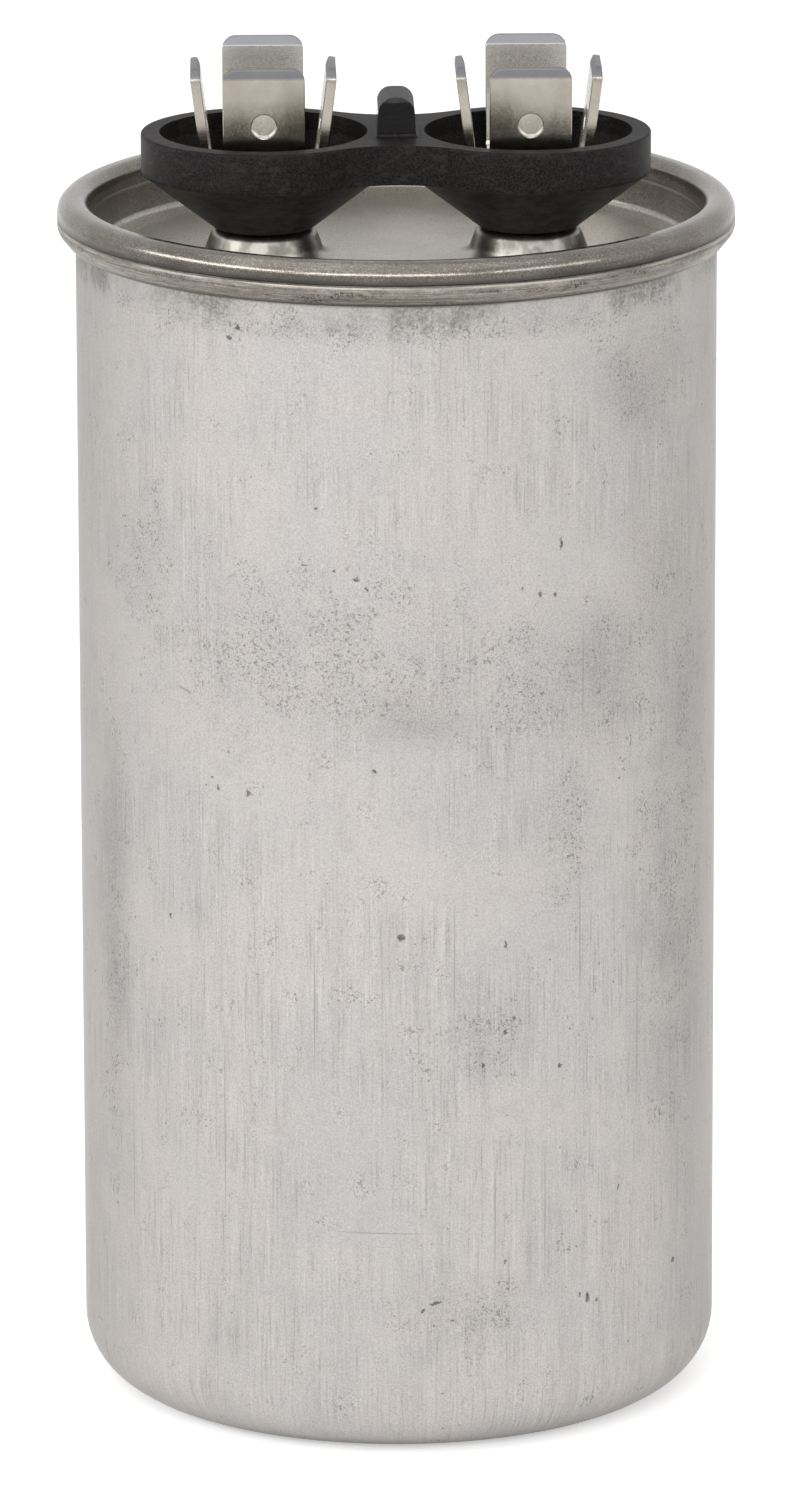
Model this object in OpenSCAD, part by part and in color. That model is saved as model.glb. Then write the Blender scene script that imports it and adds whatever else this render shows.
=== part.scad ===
// Motor run capacitor in a round metal can.
// A double-seamed lid carries a twin-cup terminal block with two four-blade terminals,
// each riveted up from two crossed strips.
// The frame's origin is the centre of the can's base, with +Z along the can and the terminals along X.

/* [Can] */
// Outside diameter of the drawn can
can_d = 50; // [44:0.5:63.5]
// Thickness of the can's sheet
can_t = 0.42; // [0.3:0.02:0.5]
// Outside radius of the bend between base and wall
base_r = 5.2; // [3:0.1:8]
// Height from the base to the crown of the seam
seam_top = 95.6; // [70:0.2:140]

/* [Seam] */
// Thickness of the lid's sheet
lid_t = 0.4; // [0.3:0.02:0.5]
// Gap between the folded layers of the double seam
seam_gap = 0.08; // [0.05:0.01:0.12]
// Height of the seam from its lower fold to its crown
seam_h = 3.5; // [3:0.1:4.5]
// Depth of the seam's tapered lower fold
seam_taper = 1.05; // [0.8:0.05:1.3]
// Radius at the seam's inner edge
crown_in_r = 0.9; // [0.7:0.05:1.1]
// Radius at the seam's outer shoulder
crown_out_r = 1.25; // [1.1:0.05:1.3]
// Depth of the can's hook inside the seam
body_hook = 1.6; // [1.3:0.1:1.8]
// Free height between the cover hook's tip and the can's fold
hook_gap = 0.25; // [0.15:0.05:0.5]
// Radius of the fold at the cover hook's foot, at the middle of the sheet
cover_bend = 0.15; // [0.12:0.01:0.2]
// Radius of the bend above the seam's taper, at the middle of the sheet
taper_bend = 0.5; // [0.3:0.05:0.7]
// How far the seam presses the can's wall inwards
pinch = 0.05; // [0.02:0.01:0.1]
// Height over which the wall is pressed inwards
pinch_h = 0.5; // [0.3:0.05:0.8]
// Depth of the roller's groove round the seam
roll_groove = 0.12; // [0.05:0.01:0.2]
// Height of the roller's groove above the seam's lower fold
roll_groove_up = 1.75; // [1.5:0.05:2]
// Room for the sealing compound between the crown and the can's hook
compound_t = 0.2; // [0.16:0.02:0.3]
// Clearance of the compound from the sheets that it seals
compound_gap = 0.04; // [0.02:0.01:0.06]

/* [Lid] */
// Depth of the lid's flat panel below the crown
recess = 4.75; // [4:0.05:6]
// Rise of the lid's foot above the flat panel
foot_rise = 0.5; // [0.3:0.05:0.9]
// Width of the sloping band round the flat panel
foot_w = 1.7; // [1.2:0.1:2.5]
// Radius of the bend at the flat panel's edge
panel_bend = 2; // [1:0.1:3]
// Radius of the bend at the chuck wall's foot
foot_bend = 0.8; // [0.5:0.05:1]
// How far the chuck wall leans in at its foot
chuck_lean = 0.4; // [0.2:0.05:0.7]
// Height of the two raised bosses above the panel
boss_h = 2.05; // [1.6:0.05:2.8]
// Radius of a boss at its top
boss_r = 4.1; // [3.9:0.05:4.5]
// How much wider a boss is at its foot
boss_flare = 0.75; // [0.5:0.05:1]
// Radius of the blend round a boss's foot
boss_blend = 0.9; // [0.5:0.05:1.1]
// Radius of the bend round a boss's top
boss_bend = 0.4; // [0.25:0.05:0.6]

/* [Terminal block] */
// Distance between the two terminals
terminal_pitch = 20.6; // [20.2:0.2:23]
// Outside diameter of a cup
cup_d = 19.1; // [18.6:0.1:19.8]
// Wall of a cup at its mouth
cup_wall = 1.45; // [1:0.05:1.8]
// Height of a cup from its neck to its mouth
cup_h = 7.5; // [7:0.1:9]
// Height of the straight band round a cup
band_h = 3.13; // [2.5:0.05:3.5]
// Radius of a cup's neck, where it stands on the lid
neck_r = 3.9; // [3.7:0.05:4.2]
// Thickness of a cup's floor
cup_floor = 3.6; // [3.2:0.1:3.8]
// Depth of the straight wall inside a cup's mouth
mouth_h = 1.4; // [1:0.1:2]
// Half width of the bridge at its waist
waist = 6.1; // [5:0.1:7]
// Radius of the bridge's hollowed sides
waist_r = 8.2; // [8:0.1:8.6]
// Width of the barrier post on the bridge
post_w = 3; // [2:0.1:3.4]
// Length of the barrier post along the bridge's waist
post_l = 5.8; // [4:0.1:8]
// Height of the barrier post above the bridge
post_h = 3.05; // [2:0.05:5]
// Draft of the post's faces in degrees
post_draft = 4; // [1:0.5:6]
// Radius of the post's front and back edges
post_edge = 0.5; // [0.2:0.05:0.8]
// Roundness of the post's arch, as a share of its half width
post_arch = 0.9; // [0.5:0.05:0.95]
// Radius of the fillet round the post's foot
post_fillet = 0.3; // [0.1:0.05:0.5]
// Radius of the block's outer edges at the neck and mouth
edge_r = 0.2; // [0.1:0.05:0.4]
// Radius of the edge between a cup's cone and its band
band_edge_r = 0.3; // [0.1:0.05:0.5]
// Radius of the corner round a cup's floor
floor_corner = 0.3; // [0.1:0.05:0.5]
// Radius of the bend between a cup's throat and its mouth
throat_r = 0.6; // [0.3:0.1:1]

/* [Terminals] */
// Width of a blade
tab_w = 6.35; // [4.75:0.05:6.6]
// Thickness of a blade
tab_t = 0.8; // [0.5:0.05:0.9]
// Distance from a terminal's axis to the foot of its front and back blades
tab_reach = 5.8; // [5.6:0.05:6]
// Distance from a terminal's axis to the foot of its side blades
cross_reach = 4.25; // [4.2:0.05:4.5]
// Outward lean of the blades in degrees
tab_lean = 7.2; // [3:0.1:8]
// Length of a blade from its bend to its tip
tab_l = 9; // [8:0.1:10]
// Inside radius of the bend at a blade's foot
tab_bend = 0.4; // [0.3:0.05:0.6]
// Diameter of the detent hole
detent_d = 1.9; // [1.2:0.1:2.2]
// Distance from the detent hole to the tip
detent_down = 4.55; // [4:0.05:5]
// Radius of the blades' top corners
tab_corner = 1.1; // [0.6:0.1:1.6]
// Length of the coined lead-in at the tip
coin_l = 0.8; // [0.5:0.05:1.5]
// Depth of the coined lead-in on each face
coin_t = 0.15; // [0.05:0.01:0.22]
// Diameter of the terminal rivet's shank
rivet_d = 3; // [2.4:0.1:3.2]
// Radius of the rivet's head
rivet_head_r = 2.4; // [2.1:0.05:2.7]
// Height of the rivet's head
rivet_head_h = 0.9; // [0.6:0.05:1.2]
// Rounding of the rivet's head
rivet_round = 0.7; // [0.3:0.05:0.8]
// Rounding of the rivet's lower end
rivet_edge = 0.2; // [0.1:0.05:0.3]
// Diameter of the rivet's hollow end
rivet_bore_d = 1.6; // [1:0.1:1.8]
// Height of the rolled collar at the rivet's lower end
clinch_h = 0.8; // [0.6:0.05:1.1]

/* [Seals and bushings] */
// Gap between a cup's neck and the boss under it
neck_gap = 0.2; // [0.1:0.02:0.4]
// Depth of the gasket's groove in the neck
gasket_groove = 1; // [0.8:0.05:1.2]
// Outside radius of a gasket
gasket_r = 3.1; // [2.8:0.05:3.3]
// Rounding of a gasket's edges
gasket_edge = 0.2; // [0.1:0.05:0.3]
// Wall of the bushing's collar through the lid
collar_t = 0.5; // [0.4:0.05:0.6]
// Radius of the bushing's flange under the lid
flange_r = 6.4; // [5.8:0.1:7]
// Thickness of the bushing's flange
flange_t = 1.2; // [0.8:0.1:1.6]
// Radius of the washer under the bushing
washer_r = 3.4; // [3:0.1:4]
// Thickness of the washer under the bushing
washer_t = 0.6; // [0.4:0.05:0.8]
// Running clearance between parts that pass through each other
slip = 0.1; // [0.05:0.01:0.15]

/* [Leads] */
// Width of a lead ribbon
lead_w = 4; // [3:0.1:4.4]
// Thickness of a lead ribbon
lead_t = 0.3; // [0.2:0.02:0.4]
// Inside radius of a lead's bends
lead_bend = 0.6; // [0.4:0.05:1]
// How far outside its rivet the short lead turns down
lead_out = 5; // [4.2:0.1:6]
// Length of a lead's soldered foot
lead_foot = 7; // [5:0.1:9]
// Free height between the rivets and the interrupter plate
lead_slack = 2; // [1.5:0.1:4]
// Wall of the sleeve round the long lead
sleeve_t = 0.3; // [0.2:0.05:0.5]
// How far the sleeve stands above the interrupter plate
sleeve_up = 1.2; // [0.5:0.1:1.4]

/* [Winding] */
// Thickness of the metal spray on each end
spray_t = 0.6; // [0.4:0.05:1]
// Wall of the tube that the film is wound on
core_t = 1.2; // [0.8:0.1:1.6]
// Thickness of the film wrap round the winding
wrap_t = 0.5; // [0.3:0.05:0.8]
// Clearance of the moulded inserts inside the can
insert_gap = 0.2; // [0.1:0.02:0.3]
// Wall of the bottom spacer's rim
spacer_wall = 1.2; // [1:0.1:1.5]
// Thickness of the bottom spacer's floor
spacer_floor = 2.8; // [2.6:0.1:3.6]
// Height of the spacer's rim above its floor
spacer_rim = 5; // [3:0.5:8]
// Rounding of the spacer's rim
rim_round = 0.4; // [0.2:0.05:0.5]
// Depth of the relief under the spacer's floor
relief_h = 1.4; // [0.5:0.1:2]
// Thickness of the interrupter plate's web
web_t = 1.6; // [1.2:0.1:2.2]
// Height of the plate's lower skirt
skirt_h = 2.5; // [2:0.1:4]
// How far the skirt laps over the winding's end
skirt_lap = 0.6; // [0.3:0.1:1.5]
// Wall of the plate's upper ring
ring_t = 1.5; // [1:0.1:2]
// Clearance of the short lead in the plate's slot
slot_gap = 0.3; // [0.2:0.05:0.5]
// Diameter of the plate's vent holes
vent_d = 4; // [2:0.1:5]
// Distance from the plate's ring to the middle of its vent holes
vent_in = 4.4; // [3:0.1:7]
// Number of the plate's vent holes
vents = 6; // [2:2:6]

/* [Hidden] */
$fn = 96;
// Length by which a cutter passes the face that it cuts
past = 1;
// Degrees that one chord of a rounded corner turns
chord = 9;
// Flat stretch left between the two bends of the can's hook
hook_flat = 0.03;

// Radii of the seam's layers, from the can's wall outwards
can_ro = can_d / 2;
can_ri = can_ro - can_t;
pinch_ro = can_ro - pinch;
pinch_ri = pinch_ro - can_t;
chuck_mid = pinch_ri - seam_gap - lid_t / 2;
cover_mid = pinch_ro + seam_gap + lid_t / 2;
hook_mid = cover_mid + lid_t / 2 + seam_gap + can_t / 2;
seaming_mid = hook_mid + can_t / 2 + seam_gap + lid_t / 2;
seam_ro = seaming_mid + lid_t / 2;

// Heights along the seam
crown_mid = seam_top - lid_t / 2;
seam_low = seam_top - seam_h;
hook_top = seam_top - lid_t - compound_t;
cover_top = hook_top - can_t - hook_gap;

// Heights from the lid's panel up through a terminal
panel_z = seam_top - recess;
lid_under = panel_z - lid_t;
foot_z = panel_z + foot_rise;
boss_z = panel_z + boss_h;
neck_z = boss_z + neck_gap;
floor_z = neck_z + cup_floor;
mouth_z = neck_z + cup_h;
band_z = mouth_z - band_h;
cross_mid = floor_z + tab_t / 2;
plate_mid = cross_mid + tab_t;
head_z = plate_mid + tab_t / 2;

// Radii round a terminal's axis
term_x = terminal_pitch / 2;
cup_r = cup_d / 2;
mouth_r = cup_r - cup_wall;
floor_r = norm([tab_reach + tab_t, tab_w / 2]) + slip;
shank_r = rivet_d / 2;
hole_r = shank_r + slip;
collar_r = hole_r + collar_t;
lid_hole_r = collar_r + slip / 2;
boss_end = boss_r + boss_flare + boss_blend;

// Heights from the lid's panel down through the riveted stack
washer_z = lid_under - flange_t;
lead_z = washer_z - washer_t;
clinch_z = lead_z - lead_t;
web_z = clinch_z - clinch_h - lead_slack;
skirt_z = web_z - web_t - skirt_h;

// The winding fills the space between spacer and plate
seat_z = can_t + spacer_floor;
wind_z = seat_z + spray_t;
wind_top = skirt_z - spray_t;
spacer_ro = can_ri - insert_gap;
spacer_ri = spacer_ro - spacer_wall;
wrap_ro = spacer_ri - insert_gap;
wrap_ri = wrap_ro - wrap_t;
wind_r = wrap_ri - slip / 2;
sleeve_ri = norm([lead_w, lead_t]) / 2 + slip;
sleeve_ro = sleeve_ri + sleeve_t;
core_ri = sleeve_ro + slip;
core_ro = core_ri + core_t;
wind_ri = core_ro + slip / 2;
drop_x = term_x + lead_out;
ring_ro = chuck_mid - chuck_lean - foot_w - insert_gap;
plate_ro = can_ri - insert_gap;
ring_ri = ring_ro - ring_t;

function unit(v) = v / norm(v);
function left_of(v) = [-v[1], v[0]];
function turned(v, a) = [v[0] * cos(a) - v[1] * sin(a), v[0] * sin(a) + v[1] * cos(a)];
function reversed(list) = [for (i = [len(list) - 1:-1:0]) list[i]];

// The points of a corner at p, entered along u and left along v, rounded with radius r
function corner(p, u, v, r) =
    let (turn = atan2(u[0] * v[1] - u[1] * v[0], u * v))
    r <= 0 || abs(turn) < 0.1 ? [p] :
    let (spoke = -left_of(u) * sign(turn) * r,
         centre = p - u * r * tan(abs(turn) / 2) - spoke,
         steps = max(2, round(abs(turn) / chord)))
    [for (i = [0:steps]) centre + turned(spoke, turn * i / steps)];

// A closed outline whose corners are rounded: each entry is [x, y, radius]
function rounded(outline) =
    [for (i = [0:len(outline) - 1])
        let (p = xy(outline[i]),
             before = xy(outline[(i + len(outline) - 1) % len(outline)]),
             after = xy(outline[(i + 1) % len(outline)]))
        each corner(p, unit(p - before), unit(after - p), outline[i][2])];
function xy(p) = [p[0], p[1]];

// One face of a bent sheet, at a distance to the left of its middle line.
// Each entry of the line is [x, y, bend radius].
function face(line, off) =
    let (last = len(line) - 1,
         way = [for (i = [0:last - 1]) unit(xy(line[i + 1]) - xy(line[i]))])
    [for (i = [0:last])
        let (p = xy(line[i]), u = way[max(i - 1, 0)], v = way[min(i, last - 1)],
             bend = sign(u[0] * v[1] - u[1] * v[0]),
             moved = p + (left_of(u) + left_of(v)) * off / (1 + u * v))
        each (line[i][2] > 0 ? corner(moved, u, v, line[i][2] - off * bend) : [moved])];

// The section of a sheet of thickness t, bent along its middle line
module sheet(line, t) {
    polygon(concat(face(line, t / 2), reversed(face(line, -t / 2))));
}

// The middle line of the can, from the centre of its base to its hook
function can_line() =
    let (wall_mid = can_ro - can_t / 2, pinched = pinch_ro - can_t / 2,
         top = hook_top - can_t / 2, bend = (hook_mid - pinched - hook_flat) / 2)
    [[0, can_t / 2, 0], [wall_mid, can_t / 2, base_r - can_t / 2],
     [wall_mid, seam_low, 0], [pinched, seam_low + pinch_h, 0],
     [pinched, top, bend], [hook_mid, top, bend], [hook_mid, hook_top - body_hook, 0]];

// The middle line of the lid, from the centre of its panel over the crown to its cover hook
function lid_line() =
    let (dip = seam_low + lid_t / 2 + cover_bend,
         slope = unit([cover_mid - seaming_mid, -(seam_taper + cover_bend)]),
         tip = dip - cover_bend / tan((90 - atan2(-slope[1], -slope[0])) / 2))
    [[0, panel_z - lid_t / 2, 0],
     [chuck_mid - chuck_lean - foot_w, panel_z - lid_t / 2, panel_bend],
     [chuck_mid - chuck_lean, foot_z - lid_t / 2, foot_bend],
     [chuck_mid, crown_mid, crown_in_r - lid_t / 2],
     [seaming_mid, crown_mid, crown_out_r - lid_t / 2],
     [seaming_mid, tip + (seaming_mid - cover_mid) * slope[1] / slope[0], taper_bend],
     [cover_mid, tip, cover_bend],
     [cover_mid, cover_top, 0]];

// The drawn can, one sheet from its base to the hook inside the seam
module can() {
    color([0.74, 0.73, 0.71]) rotate_extrude() sheet(can_line(), can_t);
}

// The lid, folded over the can's hook, with two hollow bosses for the terminals
module lid() {
    color([0.62, 0.6, 0.57]) {
        difference() {
            rotate_extrude() sheet(lid_line(), lid_t);
            for (side = [-1, 1])
                translate([side * term_x, 0, lid_under - past])
                    cylinder(r = boss_end, h = lid_t + 2 * past);
            translate([0, 0, seam_low + roll_groove_up]) rotate_extrude()
                translate([seam_ro, 0]) circle(r = roll_groove);
        }
        for (side = [-1, 1]) translate([side * term_x, 0, 0]) rotate_extrude() sheet(boss_line(), lid_t);
    }
}

// The middle line of a boss, from its rivet hole down to the panel
function boss_line() =
    [[lid_hole_r, boss_z - lid_t / 2, 0],
     [boss_r - lid_t / 2, boss_z - lid_t / 2, boss_bend],
     [boss_r + boss_flare - lid_t / 2, panel_z - lid_t / 2, boss_blend + lid_t / 2],
     [boss_end, panel_z - lid_t / 2, 0]];

// The sealing compound that lines the crown, between the lid and the can's hook
module seam_compound() {
    start = hook_top - can_t / 2;
    above = [for (p = face(lid_line(), -lid_t / 2 - compound_gap))
        if (p[1] > start && p[0] > pinch_ri) p];
    below = [for (p = face(can_line(), can_t / 2 + compound_gap))
        if (p[1] > start && p[0] > pinch_ri) p];
    color("dimgray") rotate_extrude() polygon(concat(above, reversed(below)));
}

// The solid outline of one cup
module cup_body() {
    rotate_extrude() polygon(rounded([[0, neck_z, 0], [neck_r, neck_z, edge_r],
                                      [cup_r, band_z, band_edge_r], [cup_r, mouth_z, edge_r],
                                      [0, mouth_z, 0]]));
}

// The hollow of one cup, with its gasket groove and rivet hole
module cup_hollow() {
    rotate_extrude() polygon(rounded([[0, floor_z, 0], [floor_r, floor_z, floor_corner],
                                      [mouth_r, mouth_z - mouth_h, throat_r],
                                      [mouth_r, mouth_z + past, 0], [0, mouth_z + past, 0]]));
    translate([0, 0, neck_z - past]) cylinder(r = gasket_r + slip / 2, h = gasket_groove + past);
    translate([0, 0, neck_z]) cylinder(r = hole_r, h = cup_floor + past);
}

// The bridge between the cups, with hollowed sides
module bridge() {
    reach = norm([term_x, waist + waist_r]);
    meet = (waist_r * waist_r - cup_r * cup_r + reach * reach) / (2 * reach);
    half = meet * term_x / reach;
    translate([0, 0, band_z]) linear_extrude(band_h) difference() {
        square([2 * half, 2 * (waist + waist_r)], center = true);
        for (side = [-1, 1]) translate([0, side * (waist + waist_r)]) circle(r = waist_r);
    }
}

// A drafted profile on the ground line: filleted at its foot, rounded at its top
module drafted(foot, top, round) {
    flare = foot + post_fillet;
    polygon(rounded([[-flare, -past, 0], [flare, -past, 0], [flare, 0, 0], [foot, 0, post_fillet],
                     [top, post_h, round], [-top, post_h, round], [-foot, 0, post_fillet],
                     [-flare, 0, 0]]));
}

// The barrier post: an arch seen from the front, with drafted faces and rounded ends
module post() {
    lean = post_h * tan(post_draft);
    top = post_w / 2 - lean / 2;
    translate([0, 0, mouth_z]) intersection() {
        rotate([90, 0, 0]) linear_extrude(post_l + 2 * past, center = true)
            drafted(post_w / 2, top, top * post_arch);
        rotate([90, 0, 90]) linear_extrude(post_w + 2 * past, center = true)
            drafted(post_l / 2, post_l / 2 - lean, post_edge);
    }
}

// The one-piece moulded terminal block
module terminal_block() {
    color([0.13, 0.12, 0.12]) difference() {
        union() {
            for (side = [-1, 1]) translate([side * term_x, 0, 0]) cup_body();
            bridge();
            post();
        }
        for (side = [-1, 1]) translate([side * term_x, 0, 0]) cup_hollow();
    }
}

// One strip of a terminal: a riveted plate with a blade bent up at each end
module strip(side, reach, mid, turn) {
    out = reach + tab_l * sin(tab_lean);
    tip = mid + tab_l * cos(tab_lean);
    bend = tab_bend + tab_t / 2;
    color([0.68, 0.65, 0.6]) translate([side * term_x, 0, 0]) rotate([0, 0, turn]) difference() {
        translate([0, tab_w / 2, 0]) rotate([90, 0, 0]) linear_extrude(tab_w)
            sheet([[-out, tip, 0], [-reach, mid, bend], [reach, mid, bend], [out, tip, 0]], tab_t);
        for (end = [0, 180]) rotate([0, 0, end]) translate([out, 0, tip]) rotate([0, tab_lean, 0])
            blade_cuts();
        translate([0, 0, mid - tab_t]) cylinder(r = hole_r, h = 2 * tab_t);
    }
}

// What is cut from a blade: detent hole, coined faces and rounded corners.
// Drawn round the middle of the blade's tip, with the blade hanging down -Z.
module blade_cuts() {
    translate([0, 0, -detent_down]) rotate([0, 90, 0])
        cylinder(d = detent_d, h = tab_t + 2 * past, center = true);
    for (side = [-1, 1]) {
        rotate([90, 0, 0]) linear_extrude(tab_w + 2 * past, center = true)
            polygon([[side * (tab_t / 2 - coin_t), past / 2], [side * (tab_t / 2 - coin_t), 0],
                     [side * tab_t / 2, -coin_l], [side * (tab_t / 2 + past), -coin_l],
                     [side * (tab_t / 2 + past), past / 2]]);
        translate([0, side * (tab_w / 2 - tab_corner), -tab_corner]) rotate([90, 0, 90])
            linear_extrude(tab_t + 2 * past, center = true) difference() {
                translate([side > 0 ? 0 : -tab_corner - past, 0]) square(tab_corner + past);
                circle(r = tab_corner);
            }
    }
}

// A terminal's upper strip, with its front and back blades
module tabs(side) {
    strip(side, tab_reach, plate_mid, 90);
}

// A terminal's lower strip, with its side blades
module cross_tabs(side) {
    strip(side, cross_reach, cross_mid, 0);
}

// The rubber gasket squeezed between a cup's neck and its boss
module gasket(side) {
    color([0.2, 0.2, 0.2]) translate([side * term_x, 0, 0]) rotate_extrude()
        polygon(rounded([[hole_r, boss_z, gasket_edge], [gasket_r, boss_z, gasket_edge],
                         [gasket_r, neck_z + gasket_groove, gasket_edge],
                         [hole_r, neck_z + gasket_groove, gasket_edge]]));
}

// The semi-tubular rivet that clamps a terminal's stack
module rivet(side) {
    low = clinch_z - clinch_h;
    deep = clinch_h + lead_t + washer_t;
    color([0.66, 0.64, 0.6]) translate([side * term_x, 0, 0]) difference() {
        rotate_extrude() polygon(rounded([[0, low, 0], [shank_r, low, rivet_edge],
                                          [rivet_head_r, clinch_z, rivet_edge / 2],
                                          [shank_r, clinch_z, 0], [shank_r, head_z, 0],
                                          [rivet_head_r, head_z, 0],
                                          [rivet_head_r, head_z + rivet_head_h, rivet_round],
                                          [0, head_z + rivet_head_h, 0]]));
        translate([0, 0, low - past]) cylinder(d = rivet_bore_d, h = deep + past);
    }
}

// The insulating bushing under the lid, with a hub in the boss and a collar through its hole
module inner_bushing(side) {
    hub_r = boss_r - lid_t - slip;
    color("ivory") translate([side * term_x, 0, 0]) difference() {
        union() {
            translate([0, 0, washer_z]) cylinder(r = flange_r, h = flange_t);
            translate([0, 0, washer_z]) cylinder(r = hub_r, h = boss_z - lid_t - slip - washer_z);
            translate([0, 0, washer_z]) cylinder(r = collar_r, h = boss_z - washer_z);
        }
        translate([0, 0, washer_z - past]) cylinder(r = hole_r, h = boss_z - washer_z + 2 * past);
    }
}

// The plain washer between a bushing and its lead
module washer(side) {
    color("silver") translate([side * term_x, 0, lead_z]) difference() {
        cylinder(r = washer_r, h = washer_t);
        translate([0, 0, -past]) cylinder(r = hole_r, h = washer_t + 2 * past);
    }
}

// A ribbon bent along a line in the XZ plane, with the hole for its rivet
module ribbon(line, side) {
    color("lightgray") difference() {
        translate([0, lead_w / 2, 0]) rotate([90, 0, 0]) linear_extrude(lead_w) sheet(line, lead_t);
        translate([side * term_x, 0, lead_z - lead_t - past]) cylinder(r = hole_r, h = lead_t + 2 * past);
    }
}

// The long lead: from the left rivet down through the core to the bottom spray
module lead_left() {
    bend = lead_bend + lead_t / 2;
    eye = lead_z - lead_t / 2;
    foot = seat_z - lead_t / 2;
    ribbon([[-term_x - rivet_head_r - slip, eye, 0], [0, eye, bend], [0, foot, bend],
            [core_ro + lead_foot, foot, 0]], -1);
}

// The short lead: from the right rivet down through the plate to the top spray
module lead_right() {
    bend = lead_bend + lead_t / 2;
    eye = lead_z - lead_t / 2;
    foot = skirt_z + lead_t / 2;
    ribbon([[term_x - rivet_head_r - slip, eye, 0], [drop_x, eye, bend], [drop_x, foot, bend],
            [drop_x - lead_foot, foot, 0]], 1);
}

// The sleeve that insulates the long lead through the plate and the core
module lead_sleeve() {
    low = wind_z + spray_t;
    color("ivory") translate([0, 0, low]) difference() {
        cylinder(r = sleeve_ro, h = web_z + sleeve_up - low);
        translate([0, 0, -past]) cylinder(r = sleeve_ri, h = web_z + sleeve_up - low + 2 * past);
    }
}

// The interrupter plate: a perforated web that spaces the winding from the lid
module interrupter_plate() {
    skirt_ri = wrap_ri - skirt_lap;
    web_low = web_z - web_t;
    ring_top = lid_under - slip;
    color("white") difference() {
        rotate_extrude() polygon([[0, web_low], [skirt_ri, web_low], [skirt_ri, skirt_z],
                                  [plate_ro, skirt_z], [plate_ro, web_z], [ring_ro, web_z],
                                  [ring_ro, ring_top], [ring_ri, ring_top], [ring_ri, web_z],
                                  [0, web_z]]);
        translate([0, 0, web_low - past]) cylinder(r = sleeve_ro + slip, h = web_t + 2 * past);
        translate([drop_x, 0, web_z - web_t / 2])
            cube([lead_t + 2 * slot_gap, lead_w + 2 * slot_gap, web_t + 2 * past], center = true);
        for (i = [0:vents - 1]) rotate([0, 0, (i + 0.5) * 360 / vents])
            translate([ring_ri - vent_in, 0, web_low - past]) cylinder(d = vent_d, h = web_t + 2 * past);
    }
}

// A plain tube between two radii and two heights
module tube(inner, outer, low, high) {
    translate([0, 0, low]) difference() {
        cylinder(r = outer, h = high - low);
        translate([0, 0, -past]) cylinder(r = inner, h = high - low + 2 * past);
    }
}

// The roll of metallised film
module winding() {
    color("gainsboro") tube(wind_ri, wind_r, wind_z, wind_top);
}

// The tube that the film is wound on
module winding_core() {
    color("wheat") tube(core_ri, core_ro, seat_z, skirt_z);
}

// The sprayed metal contacts on the winding's ends
module end_spray(low) {
    color("lightslategray") tube(wind_ri, wind_r, low, low + spray_t);
}

// The film wrap round the winding
module outer_wrap() {
    color("khaki") tube(wrap_ri, wrap_ro, seat_z, skirt_z);
}

// The moulded cup that centres the winding in the can's base
module bottom_spacer() {
    relief_r = spacer_ro - base_r - spacer_wall;
    color("white") difference() {
        rotate_extrude() polygon(rounded([[0, can_t + relief_h, 0], [relief_r, can_t + relief_h, 0],
                                          [relief_r, can_t, 0], [spacer_ro, can_t, base_r - can_t],
                                          [spacer_ro, seat_z + spacer_rim, rim_round],
                                          [spacer_ri, seat_z + spacer_rim, rim_round],
                                          [spacer_ri, seat_z, 0], [0, seat_z, 0]]));
        translate([-sleeve_ri, -lead_w / 2 - slip, seat_z - lead_t - slip])
            cube([sleeve_ri + core_ro + lead_foot + slip, lead_w + 2 * slip, lead_t + slip + past]);
    }
}

can();
lid();
seam_compound();
terminal_block();
tabs(-1);  // tabs_left
tabs(1);  // tabs_right
cross_tabs(-1);  // cross_tabs_left
cross_tabs(1);  // cross_tabs_right
gasket(-1);  // gasket_left
gasket(1);  // gasket_right
rivet(-1);  // rivet_left
rivet(1);  // rivet_right
inner_bushing(-1);  // inner_bushing_left
inner_bushing(1);  // inner_bushing_right
washer(-1);  // washer_left
washer(1);  // washer_right
lead_left();
lead_right();
lead_sleeve();
interrupter_plate();
winding();
winding_core();
end_spray(wind_top);  // end_spray_top
end_spray(seat_z);  // end_spray_bottom
outer_wrap();
bottom_spacer();
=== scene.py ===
"""Motor run capacitor: the looks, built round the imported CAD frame.

Lengths are millimetres in the CAD's frame until mesh_piece() turns them into metres.
"""

import math

import bmesh
import bpy
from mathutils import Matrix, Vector


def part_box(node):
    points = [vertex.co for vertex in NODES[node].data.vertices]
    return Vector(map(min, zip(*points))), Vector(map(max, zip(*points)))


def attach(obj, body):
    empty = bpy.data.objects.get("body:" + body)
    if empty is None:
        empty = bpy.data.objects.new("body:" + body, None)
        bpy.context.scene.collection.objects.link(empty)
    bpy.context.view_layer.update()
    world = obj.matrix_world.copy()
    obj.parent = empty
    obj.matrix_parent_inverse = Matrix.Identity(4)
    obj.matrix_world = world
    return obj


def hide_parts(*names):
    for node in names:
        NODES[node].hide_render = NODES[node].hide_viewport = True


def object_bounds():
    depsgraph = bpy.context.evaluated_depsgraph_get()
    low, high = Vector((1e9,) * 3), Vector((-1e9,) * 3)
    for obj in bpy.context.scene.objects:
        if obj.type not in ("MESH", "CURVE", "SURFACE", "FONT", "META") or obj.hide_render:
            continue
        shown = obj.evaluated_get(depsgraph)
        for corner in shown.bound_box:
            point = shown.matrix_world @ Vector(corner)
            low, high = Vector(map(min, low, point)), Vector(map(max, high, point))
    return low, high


MM = 0.001
BODY = "root"

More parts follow.
